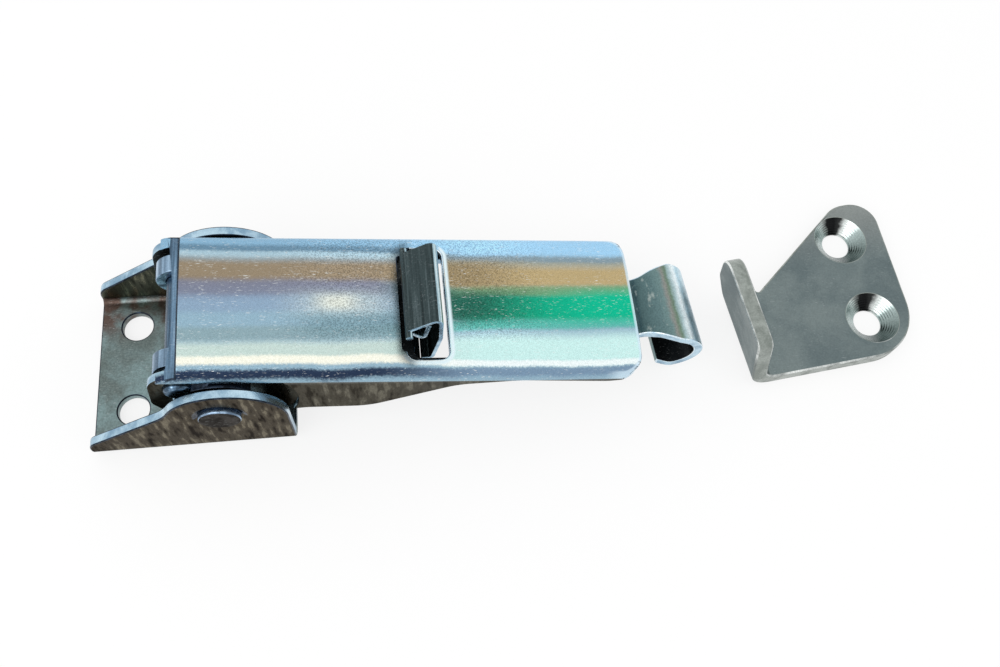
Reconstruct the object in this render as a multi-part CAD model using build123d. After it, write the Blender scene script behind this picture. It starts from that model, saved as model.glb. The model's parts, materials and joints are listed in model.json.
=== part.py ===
from build123d import *
from math import asin, atan2, cos, radians, sin, sqrt
import os

# Over-centre latch with a safety catch, and its keeper.
# Millimetres. The origin is the centre of the base's four screw holes on
# the mounting face. +X runs from the base to the hook, +Z points up.

# Running and visual clearances shared by the fits
running_gap = 0.05
side_gap = 0.35
cover_gap = 0.3

# Base channel
base_sheet = 1.7
base_length = 34.8
base_inner_width = 27.8
base_inner_bend = 1.0
screw_hole_diameter = 5.5
screw_spacing_x = 22.0
screw_spacing_y = 16.3
ear_slope = 0.73
ear_slope_rise = 4.994
hump_x = 7.4
hump_z = 13.0
hump_radius = 10.0
hump_blend = 8.0

# Pivot rivets
pivot_x = 6.6
pivot_z = 15.1
rivet_shank_diameter = 5.0
rivet_head_diameter = 7.0
rivet_head_proud = 0.8
rivet_dish_depth = 0.45
rivet_dish_rim = 8.8
rivet_tail_diameter = 6.6
rivet_tail_height = 0.8

# Draw pin
pin_x = 1.2
pin_z = 20.4
pin_diameter = 4.8
pin_proud = 0.95

# Handle lever, drawn in its own frame with the pin as origin
lever_pitch = 8.5
lever_sheet = 1.4
lever_rear = -0.2
lever_length = 77.5
lever_side_gap = 0.9
lever_flare = 1.2
lever_fold = 2.4
lever_crown = 0.25
lever_corner = 4.0
lever_front_bow = 0.35
lever_lobe_wall = 2.4
joggle_depth = 1.2
joggle_radius = 12.6
joggle_overlap = 1.2
pivot_boss_radius = 7.4
window_rear = 36.1
window_front = 43.2
window_margin = 1.65
window_corner = 1.6
notch_depth = 0.7
notch_gap = 0.45

# Draw hook
draw_sheet = 1.7
knuckle_gap = 0.95
rail_gap = 0.4
slot_gap = 1.0
knuckle_width = 3.2
knuckle_slit = 0.7
slit_angle = -38.0
rail_start = 22.0
rail_full = 27.0
taper_start = 53.0
taper_end = 70.0
flare_start = 80.2
flare_end = 86.2
neck_half_width = 5.5
hook_half_width = 7.75
hook_top = 14.7
hook_bend_x = 85.0
hook_bend_radius = 6.2
hook_lip = 1.0
hook_skew = 4.5

# Safety catch
catch_sheet = 0.7
catch_half_width = 7.2
catch_nose_half_width = 8.3
catch_nose_x = 37.6
catch_nose_z = 24.9
catch_ridge_x = 43.2
catch_ridge_z = 28.5
catch_strap_x = 41.9
catch_root_z = 13.4
catch_foot_length = 17.0
catch_rivet_diameter = 3.2
catch_rivet_head = 5.4
catch_split_gap = 0.1

# Keeper plate, drawn in its own frame and then set beside the hook
keeper_x = 106.6
keeper_y = -12.35
keeper_turn = 6.5
keeper_sheet = 3.0
keeper_length = 30.5
keeper_near_edge = 0.7
keeper_end_far = 34.0
keeper_end_back = 24.2
keeper_end_spread = 2.0
keeper_neck_x = 2.0
keeper_neck_far = 17.8
keeper_bend = 2.2
keeper_bend_x = -3.4
keeper_lip_height = 14.5
keeper_lip_lean = 8.0
keeper_lip_near = 3.0
keeper_lip_far = 22.0
keeper_hole_x = 22.9
keeper_hole_low = 8.7
keeper_hole_spacing = 17.6
keeper_hole_diameter = 5.5
keeper_sink_diameter = 10.6

# Values that follow from the ones above
base_width = base_inner_width + 2 * base_sheet
pin_radius = pin_diameter / 2
pitch = radians(lever_pitch)
ear_inner = base_inner_width / 2
ear_outer = base_width / 2
flange_outer = ear_inner - side_gap
flange_step = flange_outer - joggle_depth
knuckle_radius = pin_radius + running_gap + draw_sheet
draw_top = knuckle_radius
draw_bottom = draw_top - draw_sheet
draw_plate_rear = knuckle_radius + 0.9
lever_rear_width = base_inner_width - 2 * lever_side_gap
lever_front_width = lever_rear_width + lever_flare
lever_lobe_radius = pin_radius + lever_lobe_wall
draw_half_width = flange_step - lever_sheet - knuckle_gap
rail_half_width = lever_rear_width / 2 - lever_sheet - rail_gap
notch_half_width = catch_nose_half_width + notch_gap
window_half_width = notch_half_width + window_margin
lever_top = draw_top + cover_gap + lever_sheet + lever_crown
far = 60.0

lever_frame = Plane(
    origin=(pin_x, 0, pin_z),
    x_dir=(cos(pitch), 0, -sin(pitch)),
    z_dir=(sin(pitch), 0, cos(pitch)),
)


def in_lever(x, z):
    """Part position in the side view, as lever u and w."""
    dx = x - pin_x
    dz = z - pin_z
    return (dx * cos(pitch) - dz * sin(pitch), dx * sin(pitch) + dz * cos(pitch))


def from_lever(u, w):
    """Lever u and w in the side view, as part x and z."""
    return (
        pin_x + u * cos(pitch) + w * sin(pitch),
        pin_z - u * sin(pitch) + w * cos(pitch),
    )


def side_prism(sketch, half_width):
    """Side-view sketch pushed out to both sides of the middle plane."""
    return extrude(Plane.XZ * sketch, amount=half_width, both=True)


def plan_prism(sketch, low, high):
    """Plan-view sketch between two heights."""
    return extrude(Pos(0, 0, low) * sketch, amount=high - low)


def cross_bar(x, z, radius, start, end):
    """Round bar along Y between two side positions."""
    bar = Plane.XZ.offset(-start) * Pos(x, z) * Circle(radius)
    return extrude(bar, amount=-(end - start))


def nearest(shape, x, y):
    """The vertex of a sketch closest to a point."""
    goal = Vector(x, y, 0)
    return min(shape.vertices(), key=lambda v: (Vector(v.X, v.Y, v.Z) - goal).length)


def rounded(points, radii):
    """Polygon whose corners are rounded one by one."""
    shape = make_face(Polyline(*points, close=True))
    for point, radius in zip(points, radii):
        if radius > 0:
            shape = fillet(nearest(shape, *point), radius)
    return shape


def on_y(shape, y):
    """The same shape moved sideways."""
    return Pos(0, y, 0) * shape


# Base plate: a bent channel whose ears rise to a round hump at the pivot
half_length = base_length / 2
slope_end_x = hump_x - 7.0
slope_end_z = hump_z + ear_slope_rise
ear_rear_height = slope_end_z - ear_slope * (slope_end_x + half_length)
ear_body = make_face(
    Polyline(
        (-half_length, 0),
        (half_length, 0),
        (hump_x + hump_radius, hump_z),
        (hump_x, hump_z),
        (slope_end_x, slope_end_z),
        (-half_length, ear_rear_height),
        close=True,
    )
)
ear_body = fillet(nearest(ear_body, -half_length, ear_rear_height), 3.6)
ear_profile = ear_body + Pos(hump_x, hump_z) * Circle(hump_radius)
line_angle = atan2(ear_slope, 1)
line_drop = (slope_end_z - hump_z) - ear_slope * (slope_end_x - hump_x)
foot_along = line_drop * sin(line_angle)
foot_off = line_drop * cos(line_angle)
reach = sqrt(hump_radius**2 - foot_off**2) + foot_along
concave_x = hump_x - reach * cos(line_angle)
concave_z = slope_end_z + ear_slope * (concave_x - slope_end_x)
ear_profile = fillet(nearest(ear_profile, concave_x, concave_z), hump_blend)

channel_height = 2 * (hump_z + hump_radius)
channel_outer = RectangleRounded(base_width, 2 * channel_height, base_inner_bend + base_sheet)
channel_inner = RectangleRounded(base_inner_width, 2 * channel_height, base_inner_bend)
channel = Pos(0, channel_height) * channel_outer - Pos(0, channel_height + base_sheet) * channel_inner
base_plate = extrude(Plane.YZ * channel, amount=far, both=True)
base_plate = base_plate & side_prism(ear_profile, base_width)

screw_grid = GridLocations(screw_spacing_x, screw_spacing_y, 2, 2)
screw_holes = Sketch() + [spot * Circle(screw_hole_diameter / 2) for spot in screw_grid]
base_plate -= plan_prism(screw_holes, -1, base_sheet + 1)
base_plate -= cross_bar(pivot_x, pivot_z, rivet_shank_diameter / 2, -far, far)
dish_floor = ear_outer - rivet_dish_depth
dish_half = make_face(
    Polyline(
        (0, dish_floor),
        (rivet_head_diameter / 2, dish_floor),
        (rivet_dish_rim / 2, ear_outer),
        (rivet_dish_rim / 2, ear_outer + 1),
        (0, ear_outer + 1),
        close=True,
    )
)
far_dish = Pos(pivot_x, 0, pivot_z) * revolve(dish_half, axis=Axis.Y)
base_plate -= far_dish
base_plate -= mirror(far_dish, about=Plane.XZ)


# Pivot rivets: a flat head in the ear's dish, a shank and a spread tail
def pivot_rivet():
    head_seat = ear_outer - rivet_dish_depth
    head_top = ear_outer + rivet_head_proud
    tail_seat = flange_outer - lever_sheet - 0.1
    tail_end = tail_seat - rivet_tail_height
    head = rivet_head_diameter / 2
    shank = rivet_shank_diameter / 2
    tail = rivet_tail_diameter / 2
    half = make_face(
        Polyline(
            (0, tail_end),
            (tail - 0.4, tail_end),
            (tail, tail_end + 0.4),
            (tail, tail_seat),
            (shank, tail_seat),
            (shank, head_seat),
            (head, head_seat),
            (head, head_top - 0.25),
            (head - 0.25, head_top),
            (0, head_top),
            close=True,
        )
    )
    body = revolve(half, axis=Axis.Y)
    return Pos(pivot_x, 0, pivot_z) * body


far_pivot_rivet = pivot_rivet()
near_pivot_rivet = mirror(far_pivot_rivet, about=Plane.XZ)


# Lever: a crowned channel that widens to the front, open at both ends
def lever_section(half_width, inset):
    side = half_width - inset
    top = lever_top - inset
    fold = lever_fold - inset
    crown = lever_crown
    low = -far
    shoulder = fold * (1 - cos(radians(45)))
    outline = [
        Line((-side, low), (-side, top - crown - fold)),
        ThreePointArc(
            (-side, top - crown - fold),
            (-side + shoulder, top - crown - shoulder),
            (-side + fold, top - crown),
        ),
        ThreePointArc((-side + fold, top - crown), (0, top), (side - fold, top - crown)),
        ThreePointArc(
            (side - fold, top - crown),
            (side - shoulder, top - crown - shoulder),
            (side, top - crown - fold),
        ),
        Line((side, top - crown - fold), (side, low)),
        Line((side, low), (-side, low)),
    ]
    return make_face(outline)


def lever_solid(inset, rear, front):
    span = lever_length
    grow = (lever_front_width - lever_rear_width) / 2 / span
    sections = []
    for u in (rear, front):
        half = lever_rear_width / 2 + grow * (u - lever_rear)
        sections.append((Plane.YZ.offset(u) * lever_section(half, inset)).face())
    return loft(sections, ruled=True)


lever_front = lever_rear + lever_length
lever = lever_solid(0, lever_rear - 8, lever_front + 2) - lever_solid(lever_sheet, lever_rear - 9, lever_front + 3)

pivot_u, pivot_w = in_lever(pivot_x, pivot_z)
flank = [
    (lever_rear, 20),
    (lever_rear, 3.2),
    (-4.8, 0.0),
    (-4.8, -6.5),
    (-1.5, -12.5),
    (12.0, -12.5),
    (18.4, -8.0),
    (30.9, -7.6),
    (44.9, 1.5),
    (44.9 + 0.324 * (lever_front - 44.9), 3.1),
    (lever_front - 5.9, 2.2),
    (lever_front - 0.3, 3.4),
    (lever_front + 1, 20),
]
flank_radii = [0, 0, 0, 4.0, 5.0, 9.0, 9.0, 9.0, 9.0, 14.0, 6.0, 0.0, 0]
lever_side = rounded(flank, flank_radii)
lever_side += Circle(lever_lobe_radius)
lever &= side_prism(lever_side, far)

plan_half = lever_front_width / 2 + 0.02
plan = make_face(
    [
        Line((-far, -plan_half), (lever_front - lever_front_bow, -plan_half)),
        ThreePointArc(
            (lever_front - lever_front_bow, -plan_half),
            (lever_front, 0),
            (lever_front - lever_front_bow, plan_half),
        ),
        Line((lever_front - lever_front_bow, plan_half), (-far, plan_half)),
        Line((-far, plan_half), (-far, -plan_half)),
    ]
)
for side in (-1, 1):
    plan = fillet(nearest(plan, lever_front - lever_front_bow, side * plan_half), lever_corner)
lever &= plan_prism(plan, -far, far)

# Joggle: behind an arc round the pivot the flanges step in between the ears
fold_line = lever_top - lever_crown - lever_fold
below_fold = Pos(0, fold_line - far) * Rectangle(4 * far, 2 * far)
step_round = Pos(pivot_u, pivot_w) * Circle(joggle_radius)
step_rear = Pos(pivot_u - far, 0) * Rectangle(2 * far, 2 * far)
step_area = (step_round + step_rear) & below_fold
backing_round = Pos(pivot_u, pivot_w) * Circle(joggle_radius + joggle_overlap)
backing_limit = Pos(0, joggle_overlap) * below_fold
backing_area = (backing_round + step_rear) & backing_limit & lever_side
boss = Pos(pivot_u, pivot_w) * Circle(pivot_boss_radius)
boss_hollow = Pos(pivot_u, pivot_w) * Circle(pivot_boss_radius - lever_sheet)
for side in (-1, 1):
    lever -= on_y(side_prism(step_area, 5), side * (flange_step + 5))
    backing = side_prism(backing_area, lever_sheet / 2)
    lever += on_y(backing, side * (flange_step - lever_sheet / 2))
    boss_depth = (joggle_depth + lever_sheet) / 2
    lever += on_y(side_prism(boss, boss_depth), side * (flange_outer - boss_depth))
    hollow_centre = flange_step - lever_sheet + joggle_depth / 2 - 0.5
    hollow = side_prism(boss_hollow, joggle_depth / 2 + 0.5)
    lever -= on_y(hollow, side * hollow_centre)

# Window for the safety catch
window = rounded(
    [
        (window_rear, -window_half_width),
        (window_front, -window_half_width),
        (window_front, window_half_width),
        (window_rear, window_half_width),
    ],
    [window_corner] * 4,
)
notch_length = notch_depth + 2.0
notch = Pos(window_rear - notch_depth + notch_length / 2, 0) * RectangleRounded(
    notch_length, 2 * notch_half_width, 0.45
)
window += notch
lever -= plan_prism(window, 0, far)
lever -= cross_bar(pivot_u, pivot_w, rivet_shank_diameter / 2 + running_gap, -far, far)
lever -= cross_bar(0, 0, pin_radius, -far, far)
lever = lever_frame.location * lever

# Draw pin: pressed into the lever's lobes, rounded where it stands proud
pin_half = flange_step + pin_proud
pin_profile = make_face(
    [
        Line((0, -pin_half), (pin_radius - 0.7, -pin_half)),
        ThreePointArc(
            (pin_radius - 0.7, -pin_half),
            (pin_radius - 0.2, -pin_half + 0.2),
            (pin_radius, -pin_half + 0.7),
        ),
        Line((pin_radius, -pin_half + 0.7), (pin_radius, pin_half - 0.7)),
        ThreePointArc(
            (pin_radius, pin_half - 0.7),
            (pin_radius - 0.2, pin_half - 0.2),
            (pin_radius - 0.7, pin_half),
        ),
        Line((pin_radius - 0.7, pin_half), (0, pin_half)),
        Line((0, pin_half), (0, -pin_half)),
    ]
)
draw_pin = Pos(pin_x, 0, pin_z) * revolve(pin_profile, axis=Axis.Y)

# Draw hook: a flat strap under the lever, narrowed to a neck, then rolled
strap_centre = draw_top - draw_sheet / 2
strap_start = from_lever(draw_plate_rear - 8, strap_centre)
strap_end = from_lever(lever_front + 1.0, strap_centre)
bend_centre_z = hook_top - hook_bend_radius
roll_radius = hook_bend_radius - draw_sheet / 2
strap_path = FilletPolyline(
    strap_start,
    strap_end,
    (hook_bend_x - 2.4, hook_top - draw_sheet / 2),
    (hook_bend_x, hook_top - draw_sheet / 2),
    radius=2.2,
)
roll_path = ThreePointArc((0, roll_radius), (roll_radius, 0), (0, -roll_radius))
lip_path = Line((0, -roll_radius), (-hook_lip, -roll_radius))
roll_place = Pos(hook_bend_x, -hook_half_width, 0) * Rot(0, 0, hook_skew)
roll_side = Pos(0, bend_centre_z) * trace(roll_path + lip_path, line_width=draw_sheet)
roll = roll_place * side_prism(roll_side, far)
ahead_of_bend = roll_place * Pos(far, 0, 0) * Box(2 * far, 4 * far, 4 * far)
strap = side_prism(trace(strap_path, line_width=draw_sheet), rail_half_width) - ahead_of_bend
hook_width = Rectangle(4 * far, 2 * hook_half_width)
draw_hook = strap + (roll & plan_prism(hook_width, -far, far))

# The strap's outline in plan: knuckles, rails beside the catch, neck, hook
half_plan = [
    (-10, draw_half_width, 0),
    (rail_start, draw_half_width, 6),
    (rail_full, rail_half_width, 6),
    (taper_start, rail_half_width, 8),
    (taper_end, neck_half_width, 8),
    (flare_start, neck_half_width, 4),
    (flare_end, hook_half_width, 4),
    (flare_end + 10, hook_half_width, 0),
]
neck_points = [(x, -y) for x, y, r in half_plan] + [(x, y) for x, y, r in reversed(half_plan)]
neck_radii = [r for x, y, r in half_plan] + [r for x, y, r in reversed(half_plan)]
neck_plan = rounded(neck_points, neck_radii)
draw_hook &= plan_prism(neck_plan, -5, far)

# Two knuckles rolled from the strap's rear edge round the pin
draw_hook -= lever_frame.location * side_prism(
    Pos(draw_plate_rear - far, 0) * Rectangle(2 * far, 2 * far), far
)
knuckle = Circle(knuckle_radius)
knuckle += Pos(draw_plate_rear / 2, draw_top - draw_sheet / 2) * Rectangle(draw_plate_rear + 0.4, draw_sheet)
knuckle -= Rot(0, 0, slit_angle) * Pos(knuckle_radius, 0) * Rectangle(2 * draw_sheet + 1.2, knuckle_slit)
knuckle_pair = side_prism(knuckle, draw_half_width)
knuckle_pair -= side_prism(Rectangle(4 * far, 4 * far), draw_half_width - knuckle_width)
draw_hook += lever_frame.location * knuckle_pair
draw_hook -= cross_bar(pin_x, pin_z, pin_radius + running_gap, -far, far)

# Relief slot in the strap where the catch comes up through it
slot_rear = catch_strap_x - 2.9
slot_front = catch_ridge_x + 5.4
slot = Pos((slot_rear + slot_front) / 2, 0) * RectangleRounded(
    slot_front - slot_rear, 2 * (catch_nose_half_width + slot_gap), 1.2
)
draw_hook -= plan_prism(slot, 10, far)

# Safety catch: one spring strip, folded into a nose and a roof
catch_path = FilletPolyline(
    (catch_strap_x - 1.5, catch_root_z),
    (catch_strap_x + 0.1, catch_root_z),
    (catch_ridge_x + 0.2, catch_root_z + 7.6),
    (catch_ridge_x + 0.25, catch_ridge_z - 2.0),
    (catch_ridge_x, catch_ridge_z - catch_sheet / 2),
    (catch_nose_x + 0.6, catch_nose_z - 0.1),
    radius=0.85,
)
catch_side = trace(catch_path, line_width=catch_sheet)
catch_side += Pos(catch_strap_x - 1.5, catch_root_z) * Circle(catch_sheet / 2)
safety_catch = side_prism(catch_side, catch_half_width)
nose_path = FilletPolyline(
    (catch_ridge_x - 2.4, catch_ridge_z - 1.6 - catch_sheet / 2),
    (catch_nose_x + 0.35, catch_nose_z - catch_sheet / 2),
    (catch_nose_x + 3.0, catch_nose_z - 3.4),
    (catch_ridge_x - 1.7, catch_ridge_z - 2.2),
    radius=0.5,
)
safety_catch += side_prism(trace(nose_path, line_width=catch_sheet), catch_half_width)
nose_bead = cross_bar(
    catch_nose_x + 0.6, catch_nose_z - 0.55, 0.6, -catch_nose_half_width, catch_nose_half_width
)
safety_catch += nose_bead

# Catch foot: the riveted end of the same strip, under the strap
foot_rear_u = in_lever(catch_strap_x, catch_root_z)[0] - catch_foot_length
foot_top_w = draw_bottom - catch_sheet / 2
foot_path = FilletPolyline(
    from_lever(foot_rear_u, foot_top_w),
    from_lever(foot_rear_u + 9.5, foot_top_w),
    (catch_strap_x - 4.2, catch_root_z),
    (catch_strap_x - 1.5 - catch_sheet / 2 - catch_split_gap, catch_root_z),
    radius=1.2,
)
catch_foot = side_prism(trace(foot_path, line_width=catch_sheet), catch_half_width)
rivet_u = foot_rear_u + 4.6
rivet_bore = Pos(rivet_u, 0) * Circle(catch_rivet_diameter / 2)
catch_foot -= lever_frame.location * plan_prism(rivet_bore, -far, far)
draw_hook -= lever_frame.location * plan_prism(rivet_bore, -far, far)

# Catch rivet: flush above, a low dome below
rivet_low = draw_bottom - catch_sheet
dome_height = 1.2
dome_radius = ((catch_rivet_head / 2) ** 2 + dome_height**2) / (2 * dome_height)
dome_half_angle = asin(catch_rivet_head / 2 / dome_radius) / 2
dome_centre = rivet_low - dome_height + dome_radius
half_rivet = make_face(
    [
        Line((0, draw_top), (catch_rivet_diameter / 2, draw_top)),
        Line((catch_rivet_diameter / 2, draw_top), (catch_rivet_diameter / 2, rivet_low)),
        Line((catch_rivet_diameter / 2, rivet_low), (catch_rivet_head / 2, rivet_low)),
        ThreePointArc(
            (catch_rivet_head / 2, rivet_low),
            (dome_radius * sin(dome_half_angle), dome_centre - dome_radius * cos(dome_half_angle)),
            (0, rivet_low - dome_height),
        ),
        Line((0, rivet_low - dome_height), (0, draw_top)),
    ]
)
catch_rivet = revolve(Plane.XZ * half_rivet, axis=Axis.Z)
catch_rivet = lever_frame.location * Pos(rivet_u, 0, 0) * catch_rivet

# Keeper plate: a wide two-hole end and a narrower lip that leans outwards
lean = radians(keeper_lip_lean)
lip_rise = keeper_lip_height + 2
lip_tip_x = keeper_bend_x - (lip_rise - keeper_sheet / 2) * sin(lean) / cos(lean)
keeper_path = FilletPolyline(
    (keeper_length + keeper_end_spread + 1, keeper_sheet / 2),
    (keeper_bend_x, keeper_sheet / 2),
    (lip_tip_x, lip_rise),
    radius=keeper_bend + keeper_sheet / 2,
)
keeper_side = trace(keeper_path, line_width=keeper_sheet)
keeper = extrude(Plane.XZ * keeper_side, amount=-(keeper_end_far + 1))
keeper_plan = rounded(
    [
        (-30, keeper_near_edge),
        (keeper_length, keeper_near_edge),
        (keeper_length + keeper_end_spread, keeper_end_far),
        (keeper_end_back, keeper_end_far),
        (keeper_neck_x, keeper_neck_far),
        (keeper_neck_x - 1.0, keeper_lip_far + 3),
        (-30, keeper_lip_far + 3),
    ],
    [0, 10.5, 5.0, 6.0, 0.6, 0, 0],
)
keeper &= plan_prism(keeper_plan, -1, far)
lip_outline = rounded(
    [
        (keeper_near_edge, -1),
        (keeper_near_edge, keeper_sheet),
        (keeper_lip_near, keeper_lip_height),
        (keeper_lip_far, keeper_lip_height),
        (keeper_lip_far, keeper_sheet + 3.4),
        (keeper_neck_far + 0.2, keeper_sheet - 0.4),
        (keeper_neck_far + 0.2, -1),
    ],
    [0, 0, 1.6, 3.8, 1.6, 0, 0],
)
lip_zone = extrude(Plane.YZ.offset(-far) * lip_outline, amount=far + keeper_neck_x - 0.3)
plate_zone = Pos(keeper_neck_x - 0.3 + far, 0, 0) * Box(2 * far, 4 * far, 4 * far)
keeper &= lip_zone + plate_zone
for low in (keeper_hole_low, keeper_hole_low + keeper_hole_spacing):
    bore = Pos(keeper_hole_x, low) * Circle(keeper_hole_diameter / 2)
    keeper -= plan_prism(bore, -1, keeper_sheet + 1)
    sink_depth = (keeper_sink_diameter - keeper_hole_diameter) / 2
    sink = Pos(keeper_hole_x, low, keeper_sheet - sink_depth / 2) * Cone(
        keeper_hole_diameter / 2, keeper_sink_diameter / 2, sink_depth
    )
    keeper -= sink
keeper_plate = Pos(keeper_x, keeper_y, 0) * Rot(0, 0, keeper_turn) * keeper

# Each sub-part as its own file
pieces = {
    "base_plate": base_plate,
    "lever": lever,
    "near_pivot_rivet": near_pivot_rivet,
    "far_pivot_rivet": far_pivot_rivet,
    "draw_pin": draw_pin,
    "draw_hook": draw_hook,
    "safety_catch": safety_catch,
    "catch_foot": catch_foot,
    "catch_rivet": catch_rivet,
    "keeper_plate": keeper_plate,
}
os.makedirs("parts", exist_ok=True)
for name, piece in pieces.items():
    export_step(piece, f"parts/{name}.step")
    print(name, len(piece.solids()), round(piece.volume, 1))
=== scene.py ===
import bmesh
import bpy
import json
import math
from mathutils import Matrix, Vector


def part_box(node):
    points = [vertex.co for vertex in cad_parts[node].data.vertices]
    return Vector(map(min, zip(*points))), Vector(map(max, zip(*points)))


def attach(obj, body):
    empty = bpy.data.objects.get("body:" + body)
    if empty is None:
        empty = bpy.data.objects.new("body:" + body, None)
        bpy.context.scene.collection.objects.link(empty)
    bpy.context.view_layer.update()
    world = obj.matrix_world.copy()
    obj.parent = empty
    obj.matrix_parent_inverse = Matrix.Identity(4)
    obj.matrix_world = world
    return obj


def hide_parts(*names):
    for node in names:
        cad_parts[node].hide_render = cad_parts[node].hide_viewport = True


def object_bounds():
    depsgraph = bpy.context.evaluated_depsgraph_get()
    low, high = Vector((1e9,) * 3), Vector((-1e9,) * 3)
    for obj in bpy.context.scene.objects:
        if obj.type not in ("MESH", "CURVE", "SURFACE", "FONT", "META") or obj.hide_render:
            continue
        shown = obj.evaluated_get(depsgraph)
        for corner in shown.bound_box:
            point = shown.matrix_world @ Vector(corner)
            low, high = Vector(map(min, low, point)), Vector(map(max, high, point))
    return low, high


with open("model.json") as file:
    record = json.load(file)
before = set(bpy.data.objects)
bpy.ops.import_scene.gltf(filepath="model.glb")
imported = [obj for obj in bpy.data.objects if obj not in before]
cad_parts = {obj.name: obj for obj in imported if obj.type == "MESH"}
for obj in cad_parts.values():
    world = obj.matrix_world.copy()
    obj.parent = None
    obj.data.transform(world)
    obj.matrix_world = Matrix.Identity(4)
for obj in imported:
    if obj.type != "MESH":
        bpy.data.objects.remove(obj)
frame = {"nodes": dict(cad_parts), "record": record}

# %% [markdown]
# # An over-centre latch in zinc-plated steel
# This notebook dresses the measured CAD pieces of a pressed steel latch. The
# shapes come from the imported model, so most of the work is in two places: the
# small rounding that stamping and tumbling leave on every edge, and the plating,
# which is never one flat colour. We load the pieces first and keep the box
# that they fill.

cad_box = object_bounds()
pieces = frame["record"]["behaviour"]["bodies"]
body_of = {node: body for body, nodes in pieces.items() for node in nodes}
print("pieces", sorted(body_of))
print("box in mm", [[round(v * 1000, 1) for v in corner] for corner in cad_box])

# %% [markdown]
# ## The camera
# The photograph looks down on the closed latch from the front, steeply, from a
# short distance, so the near ear is a little larger than the far one. The camera
# could be aimed with a tracking constraint, but a plain matrix says exactly where
# it stands and which way its own axes point, and nothing moves it by accident.

# %% Camera
camera_data = bpy.data.cameras.new("photo_camera")
camera = bpy.data.objects.new("photo_camera", camera_data)
bpy.context.scene.collection.objects.link(camera)
right = Vector((0.99175, -0.10780, 0.06935))
up = Vector((0.07008, 0.90901, 0.41083))
back = Vector((-0.10733, -0.40258, 0.90907))
turn = Matrix((right, up, back)).transposed().to_4x4()
camera.matrix_world = Matrix.Translation((0.03629, -0.07068, 0.16491)) @ turn
camera_data.lens = 34.2
camera_data.sensor_width = 36.0
camera_data.clip_start = 0.002
camera_data.clip_end = 20.0
bpy.context.scene.camera = camera
print("camera at", tuple(round(v, 4) for v in camera.location))

# %% [markdown]
# ## Light and floor
# A small shiny part shows its surroundings, so it is lit the way a catalogue
# photographer does it: a bright tent on all sides and one soft lamp that gives
# the shadow a direction. The tent is the world at strength 1, at which metal
# renders in about the colour it is given. For diffuse light it is a little weaker
# and the lamp makes up the rest.

# %% World
world = bpy.data.worlds.new("light_tent")
bpy.context.scene.world = world
world.use_nodes = True
tent = world.node_tree
tent.nodes.clear()


def put(tree, kind, values=None, **settings):
    """Adds a node, sets its options and its unlinked sockets."""
    made = tree.nodes.new(kind)
    for name, value in settings.items():
        setattr(made, name, value)
    for name, value in (values or {}).items():
        made.inputs[name].default_value = value
    return made


white = (1.0, 1.0, 1.0, 1.0)
diffuse_share = 0.92
path = put(tent, "ShaderNodeLightPath")
seen = put(tent, "ShaderNodeMath", operation="MAXIMUM")
tent.links.new(path.outputs["Is Camera Ray"], seen.inputs[0])
mirrored = put(tent, "ShaderNodeMath", operation="MAXIMUM")
tent.links.new(path.outputs["Is Glossy Ray"], mirrored.inputs[0])
tent.links.new(path.outputs["Is Transmission Ray"], mirrored.inputs[1])
tent.links.new(mirrored.outputs[0], seen.inputs[1])
soft_light = put(tent, "ShaderNodeBackground", {"Color": white, "Strength": diffuse_share})
white_wall = put(tent, "ShaderNodeBackground", {"Color": white, "Strength": 1.0})
either = put(tent, "ShaderNodeMixShader")
tent.links.new(seen.outputs[0], either.inputs[0])
tent.links.new(soft_light.outputs[0], either.inputs[1])
tent.links.new(white_wall.outputs[0], either.inputs[2])
world_out = put(tent, "ShaderNodeOutputWorld")
tent.links.new(either.outputs[0], world_out.inputs["Surface"])
print("world nodes", len(tent.nodes))


# %% Soft lamp
def soft_lamp(name, place, aim, size, watts):
    """A square area lamp that points from its place at another."""
    data = bpy.data.lights.new(name, "AREA")
    data.energy = watts
    data.size = size
    lamp = bpy.data.objects.new(name, data)
    bpy.context.scene.collection.objects.link(lamp)
    lamp.location = place
    lamp.rotation_euler = (Vector(aim) - Vector(place)).to_track_quat("-Z", "Y").to_euler()
    return lamp


middle = (cad_box[0] + cad_box[1]) / 2
key = soft_lamp("key_lamp", (-0.30, -0.32, 0.55), middle, 0.5, 1.1)
print("lamp power", key.data.energy)

# %% [markdown]
# ## Colours and small helpers for finishes
# Plating colours are easiest to judge as screen values from 0 to 255, but shader
# sockets take linear light. One helper does that conversion. The others keep
# the node recipes readable: a noise, a range, sums and products, a mix and a ramp.


# %% Helpers for node recipes
def screen(red, green, blue):
    """Screen colour, 0 to 255, as the linear colour a socket takes."""
    parts = []
    for value in (red, green, blue):
        value = value / 255
        parts.append(value / 12.92 if value <= 0.04045 else ((value + 0.055) / 1.055) ** 2.4)
    return (*parts, 1.0)


def feed(tree, source, socket):
    """A link if the source is a socket, otherwise a set value."""
    if isinstance(source, bpy.types.NodeSocket):
        tree.links.new(source, socket)
    else:
        socket.default_value = source


def noise(tree, vector, scale, detail=2.0, roughness=0.5):
    """Noise value over the surface."""
    values = {"Scale": scale, "Detail": detail, "Roughness": roughness}
    made = put(tree, "ShaderNodeTexNoise", values)
    tree.links.new(vector, made.inputs["Vector"])
    return made.outputs["Fac"]


def spread(tree, value, low, high, out_low=0.0, out_high=1.0):
    """Value from one range into another, held at its ends."""
    limits = {"From Min": low, "From Max": high, "To Min": out_low, "To Max": out_high}
    made = put(tree, "ShaderNodeMapRange", limits, interpolation_type="SMOOTHSTEP")
    tree.links.new(value, made.inputs["Value"])
    return made.outputs["Result"]


def sums(tree, operation, first, second):
    """One arithmetic step."""
    made = put(tree, "ShaderNodeMath", operation=operation)
    feed(tree, first, made.inputs[0])
    feed(tree, second, made.inputs[1])
    return made.outputs[0]


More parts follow.
